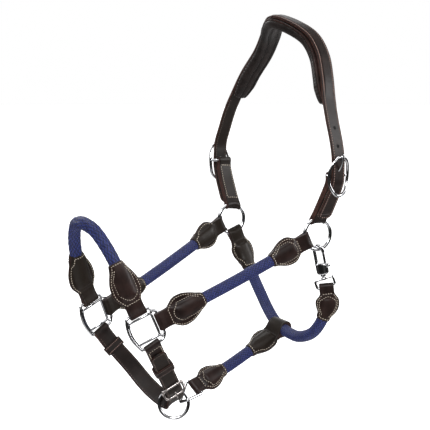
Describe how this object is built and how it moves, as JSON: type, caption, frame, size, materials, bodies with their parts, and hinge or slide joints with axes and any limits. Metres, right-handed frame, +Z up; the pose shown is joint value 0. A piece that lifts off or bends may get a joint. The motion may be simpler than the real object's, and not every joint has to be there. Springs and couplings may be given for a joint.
{
  "type": "horse head halter",
  "caption": "Horse head halter with rope cheeks, noseband and throat strap, a padded leather crown, an adjustable leather chin strap, metal rings and a throat snap.",
  "frame": {"origin": "the middle of the crown, at the poll, on the halter's middle plane", "axes": "+Z up the head, -X towards the nose, -Y the horse's left, which is the near side"},
  "size_m": [0.3184, 0.2828, 0.4923],
  "materials": {
    "navy_rope": "braided, matte, navy blue",
    "dark_leather": "smooth, softly shiny, very dark brown, cream stitching",
    "soft_leather": "soft, matte, very dark brown",
    "foam": "felted padding, hidden",
    "chrome": "polished",
    "satin_nickel": "satin",
    "spring_steel": "plain"
  },
  "bodies": {
    "crownpiece": {"crown_strap": "dark_leather", "crown_cover": "dark_leather", "crown_lining": "soft_leather", "crown_foam": "foam", "near_crown_chape": "dark_leather", "off_crown_chape": "dark_leather", "near_crown_buckle": "chrome", "off_crown_buckle": "chrome"},
    "headstall": {"near_cheek_rope": "navy_rope", "off_cheek_rope": "navy_rope", "near_cheek_front_leather": "dark_leather", "near_cheek_rear_leather": "dark_leather", "off_cheek_front_leather": "dark_leather", "off_cheek_rear_leather": "dark_leather", "nose_rope": "navy_rope", "near_nose_leather": "dark_leather", "off_nose_leather": "dark_leather", "near_dee": "chrome", "off_dee": "chrome", "throat_rope": "navy_rope", "near_throat_leather": "dark_leather", "off_throat_leather": "dark_leather", "connector_rope": "navy_rope", "connector_front_leather": "dark_leather", "connector_rear_leather": "dark_leather", "chin_strap": "dark_leather", "near_chin_chape": "dark_leather", "off_chin_keeper": "dark_leather", "chin_buckle": "satin_nickel", "chin_link": "chrome", "snap_eye": "chrome"},
    "near_ring": {"near_ring": "chrome"},
    "off_ring": {"off_ring": "chrome"},
    "near_crown_tongue": {"near_crown_tongue": "chrome"},
    "off_crown_tongue": {"off_crown_tongue": "chrome"},
    "chin_tongue": {"chin_tongue": "satin_nickel"},
    "near_chin_keeper": {"near_chin_keeper": "dark_leather"},
    "lead_ring": {"lead_ring": "chrome"},
    "snap": {"snap_hook": "chrome", "snap_spring": "spring_steel"},
    "snap_bolt": {"snap_bolt": "chrome"}
  },
  "joints": [
    {"name": "crown_fold", "type": "hinge", "parent": "crownpiece", "child": "headstall", "pos_m": [-0.0065, 0, -0.2575], "axis": [0, 1, 0], "range_deg": [-20, 20]},
    {"name": "near_ring_turn", "type": "hinge", "parent": "headstall", "child": "near_ring", "pos_m": [-0.0065, -0.098, -0.2575], "axis": [0, 1, 0], "continuous": true},
    {"name": "off_ring_turn", "type": "hinge", "parent": "headstall", "child": "off_ring", "pos_m": [-0.0065, 0.098, -0.2575], "axis": [0, 1, 0], "continuous": true},
    {"name": "near_tongue_lift", "type": "hinge", "parent": "crownpiece", "child": "near_crown_tongue", "pos_m": [-0.002, -0.1245, -0.1835], "axis": [0.9781, 0.2079, -0.0086], "range_deg": [0, 9]},
    {"name": "off_tongue_lift", "type": "hinge", "parent": "crownpiece", "child": "off_crown_tongue", "pos_m": [-0.002, 0.1245, -0.1835], "axis": [-0.9769, -0.2076, 0.0506], "range_deg": [0, 9]},
    {"name": "chin_tongue_lift", "type": "hinge", "parent": "headstall", "child": "chin_tongue", "pos_m": [-0.1694, -0.0254, -0.4415], "axis": [-0.8279, 0.2516, -0.5012], "range_deg": [0, 20]},
    {"name": "chin_keeper_slide", "type": "slide", "parent": "headstall", "child": "near_chin_keeper", "axis": [-0.5594, -0.4347, 0.7058], "range_m": [-0.008, 0.008]},
    {"name": "lead_ring_swing", "type": "hinge", "parent": "headstall", "child": "lead_ring", "pos_m": [-0.1562, -0.0075, -0.4655], "axis": [0, 1, 0], "range_deg": [-2, 30]},
    {"name": "snap_swivel", "type": "hinge", "parent": "headstall", "child": "snap", "pos_m": [0.00158, -0.09914, -0.30811], "axis": [-0.2081, 0.035, 0.9775], "range_deg": [-38, 2]},
    {"name": "snap_bolt_slide", "type": "slide", "parent": "snap", "child": "snap_bolt", "axis": [0.2081, -0.035, -0.9775], "range_m": [0, 0.005], "stiffness_N_per_m": 500, "springref_m": -0.003, "deforming": ["snap_spring"]}
  ]
}
